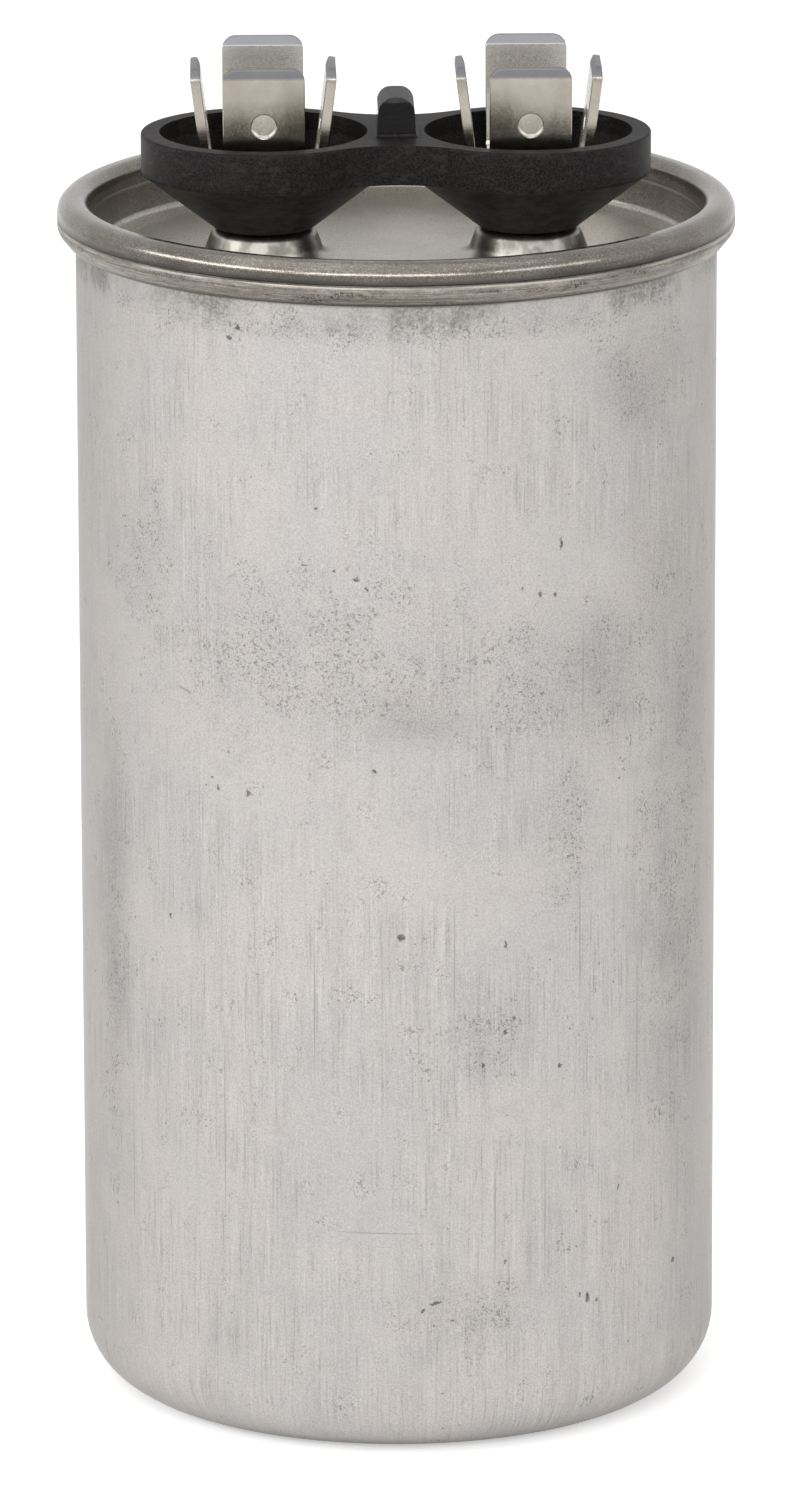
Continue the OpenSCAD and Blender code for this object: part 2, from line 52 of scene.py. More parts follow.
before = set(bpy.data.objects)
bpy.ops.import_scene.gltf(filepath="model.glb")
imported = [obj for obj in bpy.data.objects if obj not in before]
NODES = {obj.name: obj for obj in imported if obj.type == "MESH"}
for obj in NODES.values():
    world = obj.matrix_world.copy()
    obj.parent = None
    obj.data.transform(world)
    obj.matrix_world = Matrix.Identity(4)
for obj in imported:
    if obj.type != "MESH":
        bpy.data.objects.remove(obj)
cad_low, cad_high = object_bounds()


def box_mm(node):
    """The lowest and highest corners of a CAD node, in millimetres."""
    low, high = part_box(node)
    return low / MM, high / MM


# ---------------------------------------------------------------- sizes, in millimetres
lid_high = box_mm("lid")[1]

# The can
CAN_R = 25
CAN_T = 0.42
BASE_R = 5.2
FLAT_R = CAN_R - BASE_R

# The lid's rolled seam
LID_T = 0.4
SEAM_R = lid_high.x
SEAM_TOP = lid_high.z
SEAM_H = 3.5
SEAM_LOW = SEAM_TOP - SEAM_H
SEAM_GAP = 0.08
PINCH = 0.05
PINCH_H = 0.5
SEAM_TAPER = 1.05
CROWN_IN_R = 0.9
CROWN_OUT_R = 1.25
COVER_BEND = 0.15
TAPER_BEND = 0.5
COMPOUND_T = 0.2
BODY_HOOK = 1.6
HOOK_FLAT = 0.03
HOOK_GAP = 0.25
ROLL_UP = 1.75
ROLL_R = 0.12
ROLL_W = 0.3
ROLL_Z = SEAM_LOW + ROLL_UP
CHUCK_R = CAN_R - PINCH - CAN_T - SEAM_GAP - LID_T / 2

# The lid's sunk panel and its bosses
PANEL_Z = SEAM_TOP - 4.75
FOOT_RISE = 0.5
FOOT_W = 1.7
CHUCK_LEAN = 0.4
PANEL_BEND = 2
FOOT_BEND = 0.8
BOSS_H = 2.05
BOSS_R = 4.1
BOSS_FLARE = 0.75
BOSS_BLEND = 0.9
BOSS_BEND = 0.4
BOSS_HOLE_R = 2.15
BOSS_END_R = BOSS_R + BOSS_FLARE + BOSS_BLEND
RIM_IN_R = 20.5
TERM_X = 10.3

# The terminal block
GASKET_T = 0.2
CUP_H = 7.5
MOUTH_Z = PANEL_Z + BOSS_H + GASKET_T + CUP_H
POST_W = 3

# The terminals' blades
TAB_W = 6.35
TAB_T = 0.8
TAB_REACH = 5.8
CROSS_REACH = 4.25
TAB_LEAN = math.radians(7.2)
TAB_L = 9
TAB_BEND = 0.4
TAB_CORNER = 1.1
TAB_EDGE = 0.07
COIN_L = 0.8
COIN_T = 0.15
DETENT_R = 0.95
DETENT_DOWN = 4.55
RIVET_HOLE_R = 1.6
TAB_FOLD_R = TAB_BEND + TAB_T / 2
FOLD_TURN = math.pi / 2 - TAB_LEAN

# How finely round shapes are cut, and how sharp an edge has to be to stay one
CAN_SIDES = 256
LID_SIDES = 288
BOSS_SIDES = 128
HOLE_SIDES = 48
FOLD_CUTS = 10
COIN_CUTS = 4
GROOVE_CUTS = 10
LONGEST = 6
SAME_POINT = 0.0005
SOFT_EDGE = math.radians(35)
BLADE_EDGE = math.radians(9.6)


# ---------------------------------------------------------------- outlines
def turned(v, angle):
    """A vector turned to the left by an angle."""
    c, s = math.cos(angle), math.sin(angle)
    return Vector((v.x * c - v.y * s, v.x * s + v.y * c))


def left_of(v):
    """A vector turned to the left by a quarter turn."""
    return Vector((-v.y, v.x))


def corner(p, u, v, r, chord):
    """The points of a corner at p, entered along u and left along v, rounded with radius r."""
    turn = math.atan2(u.x * v.y - u.y * v.x, u.dot(v))
    if r <= 0 or abs(turn) < 0.002:
        return [p]
    spoke = -left_of(u) * math.copysign(r, turn)
    centre = p - u * r * math.tan(abs(turn) / 2) - spoke
    steps = max(2, math.ceil(abs(turn) / chord))
    return [centre + turned(spoke, turn * i / steps) for i in range(steps + 1)]


def face(line, off, chord=math.radians(7)):
    """One face of a bent sheet, at a distance to the left of its middle line."""
    at = [Vector(p[:2]) for p in line]
    way = [(b - a).normalized() for a, b in zip(at, at[1:])]
    points = []
    for i, p in enumerate(at):
        u, v = way[max(i - 1, 0)], way[min(i, len(way) - 1)]
        bend = math.copysign(1, u.x * v.y - u.y * v.x)
        moved = p + (left_of(u) + left_of(v)) * off / (1 + u.dot(v))
        radius = line[i][2] - off * bend if line[i][2] > 0 else 0
        points += corner(moved, u, v, radius, chord)
    return points


def can_line():
    """The middle line of the can's sheet, from the centre of its base to its hook."""
    wall, pinched = CAN_R - CAN_T / 2, CAN_R - PINCH - CAN_T / 2
    hook = CAN_R - PINCH + SEAM_GAP * 2 + LID_T + CAN_T / 2
    top = SEAM_TOP - LID_T - COMPOUND_T - CAN_T / 2
    bend = (hook - pinched - HOOK_FLAT) / 2
    return [(0, CAN_T / 2, 0), (wall, CAN_T / 2, BASE_R - CAN_T / 2), (wall, SEAM_LOW, 0),
            (pinched, SEAM_LOW + PINCH_H, 0), (pinched, top, bend), (hook, top, bend),
            (hook, top + CAN_T / 2 - BODY_HOOK, 0)]


def lid_line():
    """The middle line of the lid's sheet, from its flat panel over the crown to its hook."""
    cover = CAN_R - PINCH + SEAM_GAP + LID_T / 2
    outer = SEAM_R - LID_T / 2
    crown = SEAM_TOP - LID_T / 2
    slope = Vector((cover - outer, -(SEAM_TAPER + COVER_BEND))).normalized()
    fold = COVER_BEND / math.tan((math.pi / 2 - math.atan2(-slope.y, -slope.x)) / 2)
    tip = SEAM_LOW + LID_T / 2 + COVER_BEND - fold
    cover_top = SEAM_TOP - LID_T - COMPOUND_T - CAN_T - HOOK_GAP
    return [(RIM_IN_R, PANEL_Z - LID_T / 2, 0),
            (CHUCK_R - CHUCK_LEAN - FOOT_W, PANEL_Z - LID_T / 2, PANEL_BEND),
            (CHUCK_R - CHUCK_LEAN, PANEL_Z + FOOT_RISE - LID_T / 2, FOOT_BEND),
            (CHUCK_R, crown, CROWN_IN_R - LID_T / 2), (outer, crown, CROWN_OUT_R - LID_T / 2),
            (outer, tip + (outer - cover) * slope.y / slope.x, TAPER_BEND),
            (cover, tip, COVER_BEND), (cover, cover_top, 0)]


def with_groove(points):
    """The lid's outer face with the roller's shallow groove pressed in round the seam."""
    groove = [Vector((SEAM_R - ROLL_R * (1 - math.cos(2 * math.pi * i / GROOVE_CUTS)) / 2,
                      ROLL_Z + ROLL_W / 2 - ROLL_W * i / GROOVE_CUTS))
              for i in range(GROOVE_CUTS + 1)]
    below = next(i for i, p in enumerate(points) if p.x > SEAM_R - 0.01 and p.y < ROLL_Z)
    return points[:below] + groove + points[below:]


def boss_line():
    """The middle line of a boss, from its rivet hole down to the panel."""
    top, low = PANEL_Z + BOSS_H - LID_T / 2, PANEL_Z - LID_T / 2
    return [(BOSS_HOLE_R, top, 0), (BOSS_R - LID_T / 2, top, BOSS_BEND),
            (BOSS_R + BOSS_FLARE - LID_T / 2, low, BOSS_BLEND + LID_T / 2),
            (BOSS_END_R, low, 0)]


# Marks on the can's wall: degrees from the front, height, half width, half height, tilt.
# Dark scars and dents
SCARS = ((29.1, 72.7, 0.12, 0.64, -4), (24.9, 68.9, 0.19, 0.3, -20), (27.9, 68.8, 0.3, 0.12, 25),
         (-8.3, 70.7, 0.34, 0.22, 0), (-5.2, 55.6, 0.22, 0.26, 30), (-28.4, 53.2, 0.3, 0.32, 0),
         (-34.5, 53.3, 0.14, 0.3, 20), (-53.7, 60.8, 0.11, 0.26, 15), (-30, 89.8, 0.22, 0.26, 20),
         (-31.5, 88.9, 0.3, 0.22, 0), (-15.4, 76.2, 0.19, 0.15, 0), (-0.4, 42.4, 0.34, 0.38, 30),
         (18.3, 41.4, 0.14, 0.38, -15), (20, 35.4, 0.22, 0.15, -30), (18.3, 34.4, 0.15, 0.3, -20),
         (14.2, 31.9, 0.17, 0.3, -10), (29, 31.1, 0.19, 0.26, -20), (18.3, 15.9, 0.19, 0.19, 0),
         (5.5, 12.9, 0.68, 0.17, 8), (5.3, 11, 0.17, 0.15, 0), (35, 11.9, 0.3, 0.49, 10),
         (58.5, 12.6, 0.26, 0.3, 0), (42.2, 20.3, 0.15, 0.34, -25), (-45.8, 42.2, 0.15, 0.26, 10),
         (21.5, 69.6, 0.15, 0.19, 0), (-12, 71.2, 0.15, 0.15, 0), (-6.4, 69.9, 0.15, 0.22, 0),
         (3.2, 12.3, 0.22, 0.15, 0), (8.5, 11.4, 0.19, 0.15, 0), (37.2, 11.5, 0.14, 0.22, 0),
         (33.2, 12.3, 0.12, 0.3, 10), (-36, 54, 0.19, 0.15, 0), (31, 34, 0.15, 0.19, 0))
# Fine scratches and grooves
SCRATCHES = ((33.2, 41, 0.09, 7, 0), (-33.6, 25, 0.08, 10, 0), (16.4, 19.5, 0.08, 6, 0),
             (-4.8, 18.6, 5.5, 0.07, -1), (33.8, 62, 0.08, 6, 0), (-16, 37, 0.07, 8, 0),
             (9, 40, 0.07, 6, 0), (47, 33, 0.08, 9, 0), (-57, 22, 0.08, 9, 0), (60, 20, 0.08, 8, 0),
             (-42, 60.6, 1.1, 0.16, -12), (26, 20, 0.08, 7, 0))
# Where specks and pits crowd together
BELT = ((-14, 64, 22, 12, 0), (24, 62, 9, 10, 0), (-52, 70, 5, 9, 0), (46, 83, 7, 5, -30),
        (14, 34, 5, 6, 0), (12, 12, 8, 4.5, 0), (30, 50, 5, 9, 0), (0, 90, 40, 1.6, 0))
# Darker, browner clouds, partly painted shade that darkens the right side and the left edge
CLOUDS_AND_PAINTED_SHADE = ((56, 66, 9, 16, 10), (50, 85, 8, 7, -20), (60, 45, 9, 42, 0), (2, 60, 7, 4, 0),
          (-63, 40, 4, 28, 0), (40, 62, 9, 10, 0))


# ---------------------------------------------------------------- meshes
def mesh_piece(name, bm, smooth_angle, node):
    """Turns a bmesh in millimetres into a piece that rides on the body in a CAD node's place."""
    bmesh.ops.remove_doubles(bm, verts=bm.verts, dist=SAME_POINT)
    bmesh.ops.scale(bm, vec=(MM, MM, MM), verts=bm.verts)
    bmesh.ops.recalc_face_normals(bm, faces=bm.faces)
    mesh = bpy.data.meshes.new(name)
    bm.to_mesh(mesh)
    bm.free()
    mesh.shade_smooth()
    mesh.set_sharp_from_angle(angle=smooth_angle)
    piece = bpy.data.objects.new(name, mesh)
    bpy.context.scene.collection.objects.link(piece)
    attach(piece, BODY)
    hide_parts(node)
    return piece


def revolve(bm, section, count, centre=(0, 0), closed=True):
    """Turns an outline of (radius, height) points round an upright axis."""
    rings = []
    for p in section:
        if p.x < 1e-6:
            rings.append([bm.verts.new((centre[0], centre[1], p.y))])
            continue
        rings.append([bm.verts.new((centre[0] + p.x * math.cos(a),
                                    centre[1] + p.x * math.sin(a), p.y))
                      for a in (2 * math.pi * k / count for k in range(count))])
    pairs = list(zip(rings, rings[1:])) + ([(rings[-1], rings[0])] if closed else [])
    for a, b in pairs:
        if len(a) == len(b) == 1:
            continue
        for k in range(count):
            n = (k + 1) % count
            if len(a) == 1:
                bm.faces.new((a[0], b[k], b[n]))
            elif len(b) == 1:
                bm.faces.new((a[k], b[0], a[n]))
            else:
                bm.faces.new((a[k], b[k], b[n], a[n]))


def circle_edges(bm, radius, z, count, centre=(0, 0)):
    """A closed ring of edges, to fill a flat face between."""
    ring = [bm.verts.new((centre[0] + radius * math.cos(a), centre[1] + radius * math.sin(a), z))
            for a in (2 * math.pi * k / count for k in range(count))]
    return [bm.edges.new((a, b)) for a, b in zip(ring, ring[1:] + ring[:1])]


def subdivided(section, longest):
    """The same outline with its long straight stretches cut up."""
    points = []
    for a, b in zip(section, section[1:]):
        cuts = max(1, math.ceil((b - a).length / longest))
        points += [a.lerp(b, i / cuts) for i in range(cuts)]
    return points + [section[-1]]


def build_can():
    """The drawn can, with its hook inside the seam."""
    bm = bmesh.new()
    line = can_line()
    outside = subdivided(face(line, -CAN_T / 2), LONGEST)
    inside = face(line, CAN_T / 2)
    revolve(bm, outside + inside[::-1], CAN_SIDES)
    return mesh_piece("drawn_can", bm, SOFT_EDGE, "can")


def build_lid():
    """The lid, from its bosses over the crown of the seam to its hook."""
    bm = bmesh.new()
    line = lid_line()
    upper, under = with_groove(face(line, LID_T / 2)), face(line, -LID_T / 2)
    revolve(bm, upper + under[::-1], LID_SIDES, closed=False)
    for side in (-1, 1):
        at = (side * TERM_X, 0)
        revolve(bm, face(boss_line(), LID_T / 2) + face(boss_line(), -LID_T / 2)[::-1],
                BOSS_SIDES, at, closed=False)
        revolve(bm, [Vector((BOSS_HOLE_R, PANEL_Z + BOSS_H)),
                     Vector((BOSS_HOLE_R, PANEL_Z + BOSS_H - LID_T))], BOSS_SIDES, at, closed=False)
    for z in (PANEL_Z, PANEL_Z - LID_T):
        edges = circle_edges(bm, RIM_IN_R, z, LID_SIDES)
        for side in (-1, 1):
            edges += circle_edges(bm, BOSS_END_R, z, BOSS_SIDES, (side * TERM_X, 0))
        bmesh.ops.triangle_fill(bm, use_beauty=True, use_dissolve=False, edges=edges)
    return mesh_piece("seamed_lid", bm, SOFT_EDGE, "lid")


class Strip:
    """One terminal strip: a flat blank with a blade at each end, folded up as a press folds it."""

    def __init__(self, node, reach, turn):
        self.node, self.turn = node, turn
        low, high = box_mm(node)
        self.middle = Vector(((low.x + high.x) / 2, (low.y + high.y) / 2, low.z + TAB_T / 2))
        cut = TAB_FOLD_R * math.tan(FOLD_TURN / 2)
        self.fold_start = reach - cut
        self.fold_end = self.fold_start + TAB_FOLD_R * FOLD_TURN
        self.tip = self.fold_end + TAB_L - cut

    def outline(self):
        """The strip's edge as one loop, with its corners rounded."""
        half, tip, fine = TAB_W / 2, self.tip, 10
        arc = [Vector((tip - TAB_CORNER * (1 - math.sin(a)), half - TAB_CORNER * (1 - math.cos(a))))
               for a in (math.pi / 2 * i / fine for i in range(fine + 1))]
        end = arc + [Vector((p.x, -p.y)) for p in reversed(arc)]
        return [end + [-p for p in end]]

    def holes(self):
        """The rivet hole and both detent holes, as loops that run the other way round."""
        detent = self.tip - DETENT_DOWN
        return [[Vector((x + r * math.cos(a), -r * math.sin(a)))
                 for a in (2 * math.pi * i / HOLE_SIDES for i in range(HOLE_SIDES))]
                for x, r in ((0, RIVET_HOLE_R), (detent, DETENT_R), (-detent, DETENT_R))]

    def blank(self):
        """The flat stamping with softened edges, as a bmesh."""
        curve = bpy.data.curves.new(self.node, "CURVE")
        curve.dimensions = "2D"
        curve.fill_mode = "BOTH"
        curve.extrude = TAB_T / 2 - TAB_EDGE
        curve.bevel_depth = TAB_EDGE
        curve.bevel_resolution = 1
        curve.offset = -TAB_EDGE
        for loop in self.outline() + self.holes():
            spline = curve.splines.new("POLY")
            spline.points.add(len(loop) - 1)
            for point, p in zip(spline.points, loop):
                point.co = (p.x, p.y, 0, 1)
            spline.use_cyclic_u = True
        flat = bpy.data.objects.new(self.node, curve)
        bpy.context.scene.collection.objects.link(flat)
        bpy.context.view_layer.update()
        bm = bmesh.new()
        bm.from_mesh(flat.to_mesh())
        flat.to_mesh_clear()
        bpy.data.objects.remove(flat)
        bpy.data.curves.remove(curve)
        bmesh.ops.remove_doubles(bm, verts=bm.verts, dist=SAME_POINT)
        return bm

    def placed(self, p):
        """Where a point of the flat blank goes: coined, folded up, turned and set down."""
        end = math.copysign(1, p.x)
        s = abs(p.x)
        coin = max(0, s - (self.tip - COIN_L)) / COIN_L
        t = p.z * (1 - 2 * COIN_T / TAB_T * coin)
        turn = min(max(s - self.fold_start, 0) / TAB_FOLD_R, FOLD_TURN)
        past = max(0, s - self.fold_end)
        x = min(s, self.fold_start) + (TAB_FOLD_R - t) * math.sin(turn) + past * math.sin(TAB_LEAN)
        z = TAB_FOLD_R - (TAB_FOLD_R - t) * math.cos(turn) + past * math.cos(TAB_LEAN)
        xy = turned(Vector((end * x, p.y)), self.turn)
        return Vector((xy.x, xy.y, z)) + self.middle

    def build(self, name):
        """The folded strip as a piece, cut across where it bends."""
        bm = self.blank()
        cuts = [self.fold_start + (self.fold_end - self.fold_start) * i / FOLD_CUTS
                for i in range(FOLD_CUTS + 1)]
        cuts += [self.tip - COIN_L * i / COIN_CUTS for i in range(COIN_CUTS, 0, -1)]
        for s in cuts + [-s for s in cuts]:
            everything = list(bm.verts) + list(bm.edges) + list(bm.faces)
            bmesh.ops.bisect_plane(bm, geom=everything, dist=1e-5,
                                   plane_co=(s, 0, 0), plane_no=(1, 0, 0))
        for v in bm.verts:
            v.co = self.placed(v.co)
        return mesh_piece(name, bm, BLADE_EDGE, self.node)


can = build_can()
lid = build_lid()
tabs = [Strip(prefix + hand, reach, turn).build("terminal_" + way + "_" + hand)
        for hand in ("left", "right")
        for prefix, way, reach, turn in (("tabs_", "front_back", TAB_REACH, math.pi / 2),
                                         ("cross_tabs_", "sides", CROSS_REACH, 0))]


# ---------------------------------------------------------------- materials
class Shade:
    """A material's node tree, built from nested calls. Patterns are laid out in millimetres."""

    def __init__(self, name):
        self.material = bpy.data.materials.new(name)
        self.material.use_nodes = True
        self.tree = self.material.node_tree
        self.surface = self.tree.nodes["Principled BSDF"]
        place = self.add("TexCoord", output="Object")
        self.place = self.add("VectorMath", {0: place, "Scale": 1 / MM}, operation="SCALE")

    def add(self, kind, inputs=None, output=0, **settings):
        """A new node with these inputs, linked or set, and these settings."""
        made = self.tree.nodes.new("ShaderNode" + kind)
        for key, value in settings.items():
            setattr(made, key, value)
        for key, value in (inputs or {}).items():
            if isinstance(value, bpy.types.NodeSocket):
                self.tree.links.new(value, made.inputs[key])
            else:
                made.inputs[key].default_value = value
        return made.outputs[output]

    def math(self, operation, a, b=0.0):
        return self.add("Math", {0: a, 1: b}, operation=operation)

    def plus(self, a, b):
        return self.math("ADD", a, b)

    def minus(self, a, b):
        return self.math("SUBTRACT", a, b)

    def times(self, a, b):
        return self.math("MULTIPLY", a, b)

    def larger(self, a, b):
        return self.math("MAXIMUM", a, b)

    def stretched(self, x, y, z, vector=None):
        """Places scaled along each axis, so that a pattern drawn there is squeezed by as much."""
        return self.add("VectorMath", {0: vector or self.place, 1: (x, y, z)}, operation="MULTIPLY")

    def noise(self, size, detail=2.0, rough=0.5, vector=None, distortion=0.0):
        """Noise from 0 to 1 whose features measure about size millimetres."""
        return self.add("TexNoise", {"Vector": vector or self.place, "Scale": 1 / size,
                                     "Detail": detail, "Roughness": rough,
                                     "Distortion": distortion})

    def ramp(self, value, start, end, low=0.0, high=1.0):
        """value taken smoothly from start...end to low...high, and held there outside."""
        return self.add("MapRange", {0: value, 1: start, 2: end, 3: low, 4: high},
                        interpolation_type="SMOOTHSTEP")

    def mix(self, factor, a, b):
        """Colour a where factor is 0, b where it is 1."""
        made = self.tree.nodes.new("ShaderNodeMix")
        made.data_type = "RGBA"
        for socket, value in ((made.inputs[0], factor), (made.inputs[6], a), (made.inputs[7], b)):
            if isinstance(value, bpy.types.NodeSocket):
                self.tree.links.new(value, socket)
            elif isinstance(value, (int, float)):
                socket.default_value = value
            else:
                socket.default_value = (*value, 1)
        return made.outputs[2]

    def split(self, vector=None):
        """The x, y and z of a place."""
        made = self.tree.nodes.new("ShaderNodeSeparateXYZ")
        self.tree.links.new(vector or self.place, made.inputs[0])
        return made.outputs[0], made.outputs[1], made.outputs[2]

    def paint(self, where, tone):
        """Lays a tone over the colour so far, as thickly as where says."""
        self.color = self.mix(where, self.color, tone)

    def bump(self, height, depth, normal=None):
        """A bump whose height of 1 stands depth millimetres high."""
        inputs = {"Height": height, "Distance": depth * MM}
        if normal:
            inputs["Normal"] = normal
        return self.add("Bump", inputs)

    def mix_value(self, factor, a, b):
        """a where factor is 0, b where it is 1."""
        return self.add("MapRange", {0: factor, 3: a, 4: b})

    def around(self, x, y):
        """Degrees round the can's axis: 0 at the front, 90 at the right."""
        return self.times(self.math("ARCTAN2", x, self.times(y, -1)), math.degrees(1))

    def reach(self, x, y):
        """The distance from an upright axis."""
        flat = self.add("CombineXYZ", {0: x, 1: y})
        return self.add("VectorMath", {0: flat}, output="Value", operation="LENGTH")

    def shake(self, size, reach):
        """Vectors that move a place by up to reach millimetres."""
        noise = self.add("TexNoise", {"Vector": self.place, "Scale": 1 / size, "Detail": 2.0},
                         output="Color")
        moved = self.add("VectorMath", {0: noise, 1: (0.5, 0.5, 0.5)}, operation="SUBTRACT")
        return self.add("VectorMath", {0: moved, "Scale": 2 * reach}, operation="SCALE")

    def blots(self, vector, spots, core=0.0):
        """1 in the middle of each (angle, height, half width, half height, tilt), 0 at its edge."""
        total = None
        for angle, height, half_w, half_h, tilt in spots:
            near = self.add("Mapping", {"Vector": vector,
                                        "Location": (math.radians(angle) * CAN_R, height, 0),
                                        "Rotation": (0, 0, math.radians(tilt)),
                                        "Scale": (half_w, half_h, 1)}, vector_type="TEXTURE")
            far = self.add("VectorMath", {0: near}, output="Value", operation="LENGTH")
            spot = self.ramp(far, 1, core)
            total = spot if total is None else self.larger(total, spot)
        return total

    def specks(self, size, amount, widest):
        """Ragged dots in cells of a size: one in each cell whose random pick is under amount."""
        shaken = self.add("VectorMath", {0: self.place, 1: self.shake(size / 5, size / 6)},
                          operation="ADD")
        near = self.add("TexVoronoi", {"Vector": shaken, "Scale": 1 / size})
        pick = self.add("TexVoronoi", {"Vector": shaken, "Scale": 1 / size}, output="Color")
        odds, width, _ = self.split(pick)
        chosen = self.math("LESS_THAN", odds, amount)
        limit = self.times(self.ramp(width, 0, 1, 0.35, 1), chosen)
        return self.ramp(self.minus(self.times(limit, widest / size), near), -0.02, 0.06)

    def finish(self, rough, normal, shine=None, **fixed):
        """Links the surface; what is the same all over goes in fixed, by its socket's name."""
        for key, value in (("Base Color", self.color), ("Roughness", rough), ("Normal", normal),
                           ("Specular IOR Level", shine)):
            if value is not None:
                self.tree.links.new(value, self.surface.inputs[key])
        for key, value in fixed.items():
            self.surface.inputs[key.replace("_", " ")].default_value = value
        return self.material


def dress(piece, material):
    """Gives a piece or a CAD node its one material."""
    piece.data.materials.clear()
    piece.data.materials.append(material)


def can_material():
    """Drawn aluminium: draw lines up the wall, a gritty grain, soft clouds, pits, scars and painted
    shade.
    """
    s = Shade("drawn_aluminium")
    x, y, z = s.split()
    around = s.around(x, y)
    wall = s.add("CombineXYZ", {0: s.times(around, math.radians(1) * CAN_R), 1: z})
    ragged = s.add("VectorMath", {0: wall, 1: s.shake(0.35, 0.3)}, operation="ADD")
    cloud = s.noise(11, 5, 0.62, distortion=0.8)
    patch = s.noise(3, 4, 0.7)
    grain = s.noise(0.13, 2, 0.8)
    worms = s.noise(0.27, 3, 0.75)
    lines = s.noise(0.2, 3, 0.75, s.stretched(1, 0.03, 1, wall))
    broad = s.noise(1.3, 2, 0.5, s.stretched(1, 0.05, 1, wall))
    belt = s.blots(wall, BELT)
    clouds_and_painted_shade = s.blots(wall, CLOUDS_AND_PAINTED_SHADE)
    # Where the sheet was drawn, and where that shows: not on the base, most on the lower wall
    drawn = s.ramp(s.reach(x, y), FLAT_R, CAN_R - 1)
    lined = s.plus(s.noise(9, 2, 0.5), s.ramp(z, 55, 35, 0, 0.07))
    lined = s.ramp(s.minus(lined, s.times(belt, 0.12)), 0.36, 0.6)
    lined = s.times(lined, drawn)

    # Clouds, patches and draw lines
    s.color = s.mix(s.ramp(cloud, 0.36, 0.62), (0.41, 0.395, 0.387), (0.445, 0.422, 0.404))
    s.paint(s.ramp(patch, 0.52, 0.72, 0, 0.25), (0.5, 0.48, 0.462))
    s.paint(s.ramp(patch, 0.47, 0.3, 0, 0.25), (0.32, 0.308, 0.3))
    s.paint(s.times(lined, s.ramp(broad, 0.35, 0.65, 0.12, 0)), (0.2, 0.19, 0.18))
    s.paint(s.times(lined, s.ramp(lines, 0.52, 0.7, 0, 0.42)), (0.18, 0.17, 0.16))
    s.paint(s.times(lined, s.ramp(lines, 0.46, 0.3, 0, 0.28)), (0.66, 0.63, 0.6))
    # Painted shade: the right side and the left edge darker, mixed with browner clouds
    s.paint(s.times(clouds_and_painted_shade, s.ramp(cloud, 0.3, 0.62, 0.45, 0.2)), (0.2, 0.188, 0.18))
    s.paint(s.times(belt, s.ramp(patch, 0.35, 0.6, 0.07, 0.24)), (0.25, 0.243, 0.238))

    # Grit all over, and pits that crowd together in the belt and in the darker clouds and painted
    # shade
    crowd = s.plus(patch, s.times(s.larger(belt, s.times(clouds_and_painted_shade, 0.6)), 0.18))
    crowd = s.ramp(crowd, 0.54, 0.7, 0.04, 1)
    grit = s.plus(s.times(s.larger(s.larger(belt, clouds_and_painted_shade), crowd), 0.2), 0.22)
    s.paint(s.ramp(grain, 0.52, 0.34, 0, grit), (0.16, 0.15, 0.142))
    s.paint(s.ramp(grain, 0.5, 0.68, 0, 0.16), (0.78, 0.76, 0.74))
    worm = s.times(s.ramp(worms, 0.54, 0.62), crowd)
    s.paint(s.times(worm, 0.62), (0.13, 0.127, 0.122))
    pit = s.specks(0.42, s.times(crowd, 0.3), 0.1)
    s.paint(s.times(pit, 0.6), (0.1, 0.1, 0.095))
    scar = s.times(s.blots(ragged, SCARS, 0.5), s.ramp(worms, 0.35, 0.5, 0.45, 0.85))
    s.paint(scar, (0.07, 0.07, 0.067))
    scratch = s.blots(wall, SCRATCHES, 0.3)
    s.paint(s.times(scratch, s.ramp(grain, 0.35, 0.6, 0.2, 0.55)), (0.14, 0.14, 0.138))

    # The stain and the painted shadow line under the seam, and a painted contact shadow on the bend
    # at the foot
    low_edge = s.plus(z, s.ramp(s.noise(1.6, 4, 0.7), 0.25, 0.75, -1.2, 1.2))
    under_seam = s.ramp(low_edge, SEAM_LOW - 2.6, SEAM_LOW - 0.2)
    heavy = s.ramp(s.noise(9, 2, 0.5), 0.35, 0.6, 0.25, 0.85)
    heavy = s.times(heavy, s.ramp(worms, 0.35, 0.62, 0.4, 1))
    s.paint(s.times(under_seam, heavy), (0.15, 0.147, 0.132))
    s.paint(s.ramp(z, SEAM_LOW - 0.3, SEAM_LOW, 0, 0.7), (0.05, 0.048, 0.042))
    # Painted contact shadow: the bend at the foot darkened near the floor
    edge = s.times(s.ramp(z, 1.3, 0.15, 0, 0.6), s.ramp(s.reach(x, y), FLAT_R - 0.8, FLAT_R + 1.2))
    s.paint(edge, (0.09, 0.085, 0.08))

    streaky = s.times(s.ramp(lines, 0.3, 0.7, -0.04, 0.04), drawn)
    rough = s.plus(s.ramp(cloud, 0.3, 0.7, 0.29, 0.35), streaky)
    rough = s.plus(rough, s.times(s.larger(worm, pit), 0.2))
    normal = s.bump(s.times(lines, drawn), 0.004)
    normal = s.bump(grain, 0.003, normal)
    pitted = s.times(s.ramp(worms, 0.62, 0.54), s.ramp(patch, 0.5, 0.66))
    normal = s.bump(pitted, 0.006, normal)
    return s.finish(rough, normal, Metallic=1.0, Specular_Tint=(0.7, 0.69, 0.68, 1))


